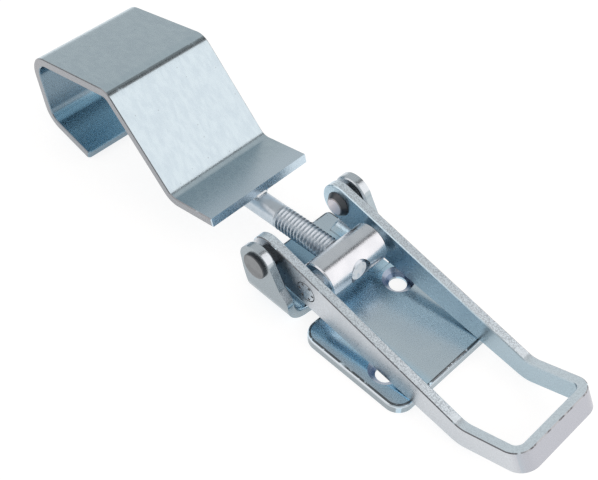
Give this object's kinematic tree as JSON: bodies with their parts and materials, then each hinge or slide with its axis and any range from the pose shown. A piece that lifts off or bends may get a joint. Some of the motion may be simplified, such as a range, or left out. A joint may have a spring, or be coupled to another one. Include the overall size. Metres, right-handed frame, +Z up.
{
  "type": "over centre toggle latch",
  "caption": "Over centre toggle latch: a bent U lever on a screwed base pulls an adjustable threaded rod and its wide bent hook plate.",
  "frame": {"origin": "on the base plate's underside, half way between its two screw holes", "axes": "+X from the hook towards the lever's grip, +Y across, +Z up out of the mounting surface"},
  "size_m": [0.264, 0.0572, 0.0531],
  "materials": {
    "plate_zinc": "blue-white zinc plating on rolled steel",
    "lever_zinc": "blue-white zinc plating, sheared edges speckled",
    "rivet_zinc": "zinc plating, worn by forming",
    "barrel_zinc": "bright zinc plating on turned steel",
    "rod_zinc": "bright zinc plating on a rolled thread",
    "hook_zinc": "blue-white zinc plating on rolled steel",
    "weld_zinc": "zinc plated weld metal, rough"
  },
  "bodies": {
    "base": {"base_plate": "plate_zinc", "pivot_rivet_near": "rivet_zinc", "pivot_rivet_far": "rivet_zinc"},
    "lever": {"lever_handle": "lever_zinc"},
    "barrel": {"barrel_nut": "barrel_zinc"},
    "hook": {"tension_rod": "rod_zinc", "hook_plate": "hook_zinc", "weld_bead_near": "weld_zinc", "weld_bead_far": "weld_zinc", "weld_bead_front": "weld_zinc"}
  },
  "joints": [
    {"name": "lever_swing", "type": "hinge", "parent": "base", "child": "lever", "pos_m": [-0.045, 0, 0.0228], "axis": [0, -1, 0], "range_deg": [0, 160]},
    {"name": "barrel_turn", "type": "hinge", "parent": "lever", "child": "barrel", "pos_m": [-0.02493, 0, 0.01917], "axis": [0, -1, 0], "range_deg": [-160, 0]},
    {"name": "rod_screw", "type": "hinge", "parent": "barrel", "child": "hook", "pos_m": [-0.02493, 0, 0.01917], "axis": [-0.9979, 0, -0.065], "continuous": true}
  ],
  "couplings": [
    {"joint": "barrel_turn", "follows": "lever_swing", "ratio": -1}
  ]
}
